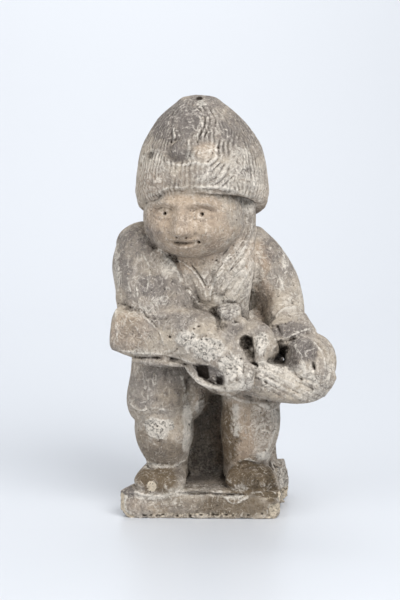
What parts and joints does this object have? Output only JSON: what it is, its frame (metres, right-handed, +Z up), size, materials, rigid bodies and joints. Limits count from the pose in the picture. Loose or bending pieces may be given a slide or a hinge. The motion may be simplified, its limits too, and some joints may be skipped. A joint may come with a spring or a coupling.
{
  "type": "stone dwarf statue",
  "caption": "Carved stone garden dwarf in a pointed shaggy cap and wide cuffs, holding a worn long object across its lap, on a low base",
  "frame": {"origin": "middle of the bounding box on the ground, under the flat underside of the base", "axes": "+Z up, -Y the way the figure faces, +X to the right of someone who looks at its front"},
  "size_m": [0.2652, 0.1936, 0.5],
  "materials": {
    "stone": "weathered warm grey limestone, dull, with dark dirt in the recesses and pale worn patches"
  },
  "bodies": {
    "root": {"dwarf_statue": "stone"}
  },
  "joints": []
}
